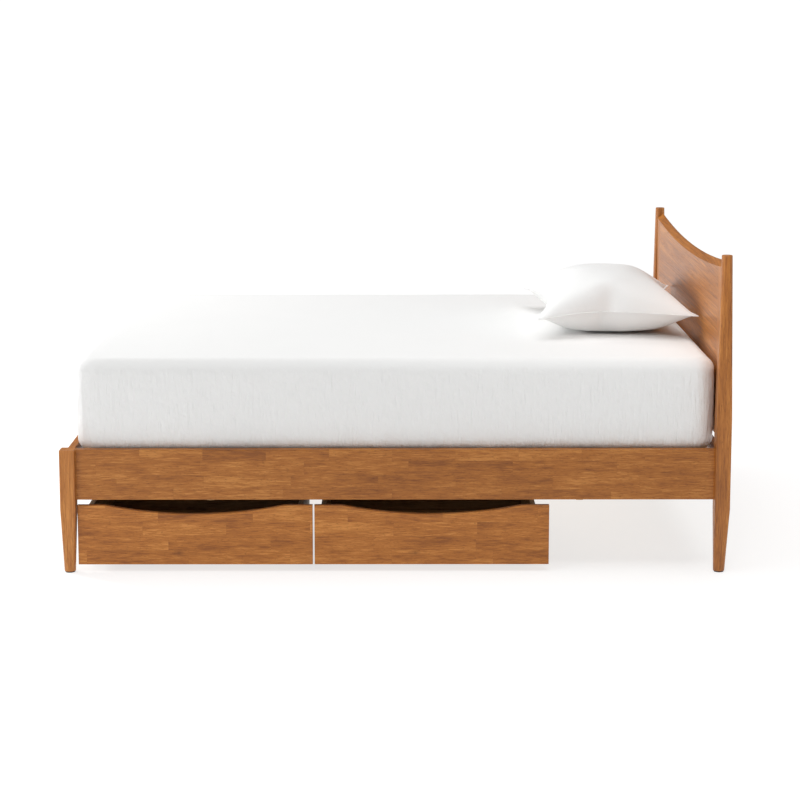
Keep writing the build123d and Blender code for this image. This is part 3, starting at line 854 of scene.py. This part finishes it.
class BED_OT_sheet(bpy.types.Operator):
    """Pull the fitted sheet over the mattress, with its creases and tucked hem"""

    bl_idname = "bed.sheet"
    bl_label = "Fitted sheet"

    def execute(self, context):
        bedding = context.scene.bed.bedding
        low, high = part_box("mattress")
        sheet_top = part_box("fitted_sheet")[1].z
        lift_off_base, top_clearance = 0.0003, 0.0004
        rail_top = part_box("side_rail_right")[1].z
        cover = BoxedCover(high.x, high.y, low.z + lift_off_base, sheet_top - top_clearance, corner=0.066,
                           top_edge=0.038, bottom_edge=0.046, cell=bedding.sheet_cell,
                           flap=bedding.hem_depth).build()
        points = [self.creased(point, cover, rail_top) for point in cover.vertices]
        sheet = make_piece("fitted_sheet_cloth", points, cover.faces, FRAME_BODY,
                           cotton_finish("sheet_cotton", (*bedding.cotton, 1.0), bedding.thread, crease=0.6,
                                         side_top=high.z),
                           cover.flat)
        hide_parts("fitted_sheet")
        return {"FINISHED"}

    def creased(self, point, cover, rail_top):
        """One point of the smooth cover, moved by the cloth's bulge, ripples and puckers."""
        x, y, z = point
        side_share = min(1.0, max(0.0, (cover.top - z) / (cover.top - cover.bottom)))
        outward = Vector((0.0, 0.0))
        beyond_x = abs(x) - (cover.half_x - cover.corner)
        beyond_y = abs(y) - (cover.half_y - cover.corner)
        if beyond_x > 0 or beyond_y > 0:
            outward = Vector((
                math.copysign(max(beyond_x, 0.0), x), math.copysign(max(beyond_y, 0.0), y)
            ))
            outward = outward.normalized() if outward.length > 1e-9 else outward
        around = x - y if abs(outward.x) < 0.7 else y + x
        corner_near = math.exp(
            -((max(0.0, cover.half_x - abs(x)) + max(0.0, cover.half_y - abs(y))) / 0.16)
        )
        above_rail = z - rail_top
        moved = Vector((x, y, z))
        rail_tuck = 0.012
        if 0.0 < side_share and above_rail > -rail_tuck:
            up_side = min(1.0, max(0.0, above_rail / (cover.top - rail_top)))
            bulge = 0.0035 * math.sin(math.pi * up_side)
            ripple = wavering(around * 34, z * 5.0, 2.0) * 0.0007
            ripple += wavering(around * 90, z * 9, 7.0) * 0.0004
            corner_ripple = abs(wavering(around * 42, z * 16, 3.0)) * 0.0045 * corner_near
            pucker_reach = math.exp(-max(0.0, above_rail - 0.004) / 0.022)
            pucker = (abs(wavering(around * 36, 1.0, z * 14)) - 0.2) * 0.008 * pucker_reach
            slow = wavering(around * 2.6, z * 3.0, 5.0) * 0.0016
            fade = min(1.0, max(0.0, (above_rail + rail_tuck) / 0.02))
            push = (bulge + ripple + corner_ripple + pucker + slow) * fade
            moved.x += outward.x * push
            moved.y += outward.y * push
        if side_share < 0.2:
            edge_near = math.exp(-max(0.0, min(cover.half_x - abs(x), cover.half_y - abs(y))) / 0.05)
            moved.z += wavering(x * 1.9, y * 2.3, 1.0) * 0.0011 + wavering(x * 7, y * 9, 4.0) * 0.0004
            moved.z += wavering(around * 3.4, 0.5) * 0.0022 * edge_near
            moved.z += wavering(around * 21, 6.5) * 0.0009 * corner_near
        return moved


class BED_OT_pillow(bpy.types.Operator):
    """Sew the pillowcase from two flat pieces, fill it and lay it against the headboard"""

    bl_idname = "bed.pillow"
    bl_label = "Pillow"

    def execute(self, context):
        settings = context.scene.bed
        bedding = settings.bedding
        low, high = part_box("pillow")
        case = self.sew(bedding.case_width, bedding.case_length, CASE_CELL)
        material = cotton_finish("pillow_cotton", (*bedding.cotton, 1.0), bedding.thread, crease=0.9)
        pillow = make_piece("pillow_case", case["points"], case["faces"], FRAME_BODY, material,
                            case["flat"])
        if settings.simulate:
            self.inflate(context, pillow)
        else:
            self.puff(pillow, bedding)
        self.lay_down(pillow, case, low, high)
        self.hem(pillow, case)
        smoother = pillow.modifiers.new("Subdivision", "SUBSURF")
        smoother.levels = smoother.render_levels = 1
        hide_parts("pillow")
        return {"FINISHED"}

    def sew(self, width, length, cell):
        """Two flat layers of cloth that share their outline."""
        columns, rows = round(width / cell), round(length / cell)
        points, faces, flat, found = [], [], [], {}

        def point(i, j, layer):
            edge = i in (0, columns) or j in (0, rows)
            key = (i, j, 0 if edge else layer)
            if key not in found:
                found[key] = len(points)
                x = width * (i / columns - 0.5)
                y = length * (j / rows - 0.5)
                lift = 0.0 if edge else layer * (0.004 + 0.0015 * wavering(x * 9, y * 9, layer))
                points.append(Vector((x, y, lift)))
            return found[key]

        for layer in (1, -1):
            for i in range(columns):
                for j in range(rows):
                    corners = [(i, j), (i + 1, j), (i + 1, j + 1), (i, j + 1)]
                    if layer < 0:
                        corners.reverse()
                    faces.append([point(*corner, layer) for corner in corners])
                    flat.append([
                        (corner[0] * width / columns + (2.0 if layer < 0 else 0.0), corner[1] * length / rows)
                        for corner in corners
                    ])
        outline = [(i, 0) for i in range(columns)] + [(columns, j) for j in range(rows)]
        outline += [(i, rows) for i in range(columns, 0, -1)] + [(0, j) for j in range(rows, 0, -1)]
        outline = [found[(i, j, 0)] for i, j in outline]
        corner_hold = 0.045
        hold = []
        for place in points:
            away = Vector((width / 2 - abs(place.x), length / 2 - abs(place.y))).length
            hold.append(math.exp(-away / corner_hold))
        return {"points": points, "faces": faces, "flat": flat, "outline": outline,
                "seam": set(outline), "hold": hold}

    def inflate(self, context, pillow):
        """Blows the case up as cloth towards the pillow's volume."""
        scene = context.scene
        cloth = pillow.modifiers.new("Cloth", "CLOTH")
        fabric = cloth.settings
        fabric.quality = 7
        fabric.mass = 0.25
        fabric.tension_stiffness = 22.0
        fabric.compression_stiffness = 18.0
        fabric.shear_stiffness = 9.0
        fabric.bending_stiffness = 3.0
        fabric.air_damping = 4.0
        fabric.use_pressure = True
        fabric.uniform_pressure_force = 7.0
        fabric.use_pressure_volume = True
        fabric.target_volume = 0.043
        fabric.effector_weights.gravity = 0.0
        last_frame = 42
        cloth.point_cache.frame_start = 1
        cloth.point_cache.frame_end = last_frame
        for number in range(1, last_frame + 1):
            scene.frame_set(number)
        evaluated = pillow.evaluated_get(context.evaluated_depsgraph_get())
        shaped = [vertex.co.copy() for vertex in evaluated.data.vertices]
        pillow.modifiers.remove(cloth)
        scene.frame_set(1)
        for vertex, place in zip(pillow.data.vertices, shaped):
            vertex.co = place

    def puff(self, pillow, bedding):
        """A quick domed shape, for trying other pieces without the simulation."""
        for vertex in pillow.data.vertices:
            across = 1 - (2 * vertex.co.x / bedding.case_width) ** 2
            along = 1 - (2 * vertex.co.y / bedding.case_length) ** 2
            dome = 0.1 * math.sqrt(max(0.0, across * along))
            vertex.co.z = math.copysign(dome, vertex.co.z) if dome else 0.0

    def relax(self, case, places, rounds):
        """Smooths away buckles, while the seam stays sharp and the corners stay pointed."""
        neighbours = [set() for _ in places]
        for face in case["faces"]:
            for first, second in zip(face, face[1:] + face[:1]):
                for here, there in ((first, second), (second, first)):
                    if here not in case["seam"] or there in case["seam"]:
                        neighbours[here].add(there)
        for _ in range(rounds):
            moved = []
            for number, place in enumerate(places):
                around = neighbours[number]
                middle = sum((places[other] for other in around), Vector()) / len(around)
                hold = case["hold"][number]
                moved.append(place.lerp(middle, 0.5 * (1 - hold)))
            places = moved
        return places

    def lay_down(self, pillow, case, low, high):
        """Scales the pillow into its place, lets its corners drop and flattens where it rests."""
        rounds, foot_reach, sink = 18, 0.012, 0.03
        corner_drop, foot_drop, rest_depth = 0.006, 0.012, 0.02
        places = self.relax(case, [vertex.co.copy() for vertex in pillow.data.vertices], rounds)
        least = Vector([min(place[axis] for place in places) for axis in range(3)])
        most = Vector([max(place[axis] for place in places) for axis in range(3)])
        size = high - low + Vector((foot_reach, 0.0, 0.0))
        middle = (low + high) / 2 - Vector((foot_reach / 2, 0.0, 0.0))
        for vertex, place in zip(pillow.data.vertices, places):
            share = [(place[axis] - (least[axis] + most[axis]) / 2) / (most[axis] - least[axis])
                     for axis in range(3)]
            x = middle.x + share[0] * size.x
            y = middle.y + share[1] * size.y
            z = middle.z + share[2] * (size.z + sink) - sink / 2
            corner = (abs(share[0]) * abs(share[1]) * 4) ** 2
            foot_side = max(0.0, -share[0] * 2) * corner
            z -= corner_drop * corner + foot_drop * foot_side
            floor = low.z + 0.001
            if z < floor + rest_depth:
                depth = floor + rest_depth - z
                z = floor + rest_depth * math.exp(-depth / rest_depth)
            vertex.co = (x, y, z)

    def hem(self, pillow, case):
        """Adds the flat sewn edge that stands out all round the seam."""
        shell = bmesh.new()
        shell.from_mesh(pillow.data)
        shell.verts.ensure_lookup_table()
        layer = shell.loops.layers.uv.active
        loop = case["outline"]
        seam = [shell.verts[number].co.copy() for number in loop]
        middle = sum(seam, Vector()) / len(seam)
        count = len(seam)
        rings = []
        width, thickness, tuck, wave_height, droop = 0.006, 0.0014, 0.004, 0.0015, 0.0005
        for position, place in enumerate(seam):
            along = (seam[(position + 1) % count] - seam[position - 1]).normalized()
            out = Vector((along.y, -along.x, 0.0)).normalized()
            if out.dot(place - middle) < 0:
                out.negate()
            wave = wavering(place.x * 45, place.y * 45, 3.0)
            reach = place + out * width + Vector((0.0, 0.0, wave_height * wave - droop))
            up = Vector((0.0, 0.0, thickness))
            inner = place - out * tuck
            section = (inner + up, reach + up, reach - up, inner - up)
            rings.append([shell.verts.new(point) for point in section])
        for position in range(count):
            here, there = rings[position], rings[(position + 1) % count]
            for side in range(4):
                other = (side + 1) % 4
                face = shell.faces.new((here[side], there[side], there[other], here[other]))
                face.smooth = True
                run = position * CASE_CELL
                for corner, place in zip(face.loops, ((run, side), (run + CASE_CELL, side),
                                                      (run + CASE_CELL, other), (run, other))):
                    corner[layer].uv = (place[0] + 4.0, place[1] * width)
        bmesh.ops.recalc_face_normals(shell, faces=shell.faces)
        shell.to_mesh(pillow.data)
        shell.free()


class BED_PT_panel(bpy.types.Panel):
    """The sidebar panel with every step of the bed"""

    bl_idname = "BED_PT_panel"
    bl_label = "Platform bed"
    bl_space_type = "VIEW_3D"
    bl_region_type = "UI"
    bl_category = "Bed"

    def draw(self, context):
        settings = context.scene.bed
        for group in (settings.wood, settings.bedding, settings.hardware):
            box = self.layout.box()
            for name in group.bl_rna.properties.keys():
                if name not in ("rna_type", "name"):
                    box.prop(group, name)
        self.layout.prop(settings, "simulate")
        for step in STEPS:
            self.layout.operator(step.bl_idname)


STEPS = (
    BED_OT_stage, BED_OT_frame_wood, BED_OT_base_wood, BED_OT_drawer_wood, BED_OT_fittings,
    BED_OT_screws, BED_OT_mattress, BED_OT_sheet, BED_OT_pillow,
)
CLASSES = (WoodSettings, BeddingSettings, HardwareSettings, BedSettings, *STEPS, BED_PT_panel)


def register():
    for item in CLASSES:
        bpy.utils.register_class(item)
    bpy.types.Scene.bed = PointerProperty(type=BedSettings)


def unregister():
    del bpy.types.Scene.bed
    for item in reversed(CLASSES):
        bpy.utils.unregister_class(item)


def main():
    """Builds the whole bed around its frame."""
    register()
    for step in STEPS:
        family, action = step.bl_idname.split(".")
        getattr(getattr(bpy.ops, family), action)()


if __name__ == "__main__":
    main()
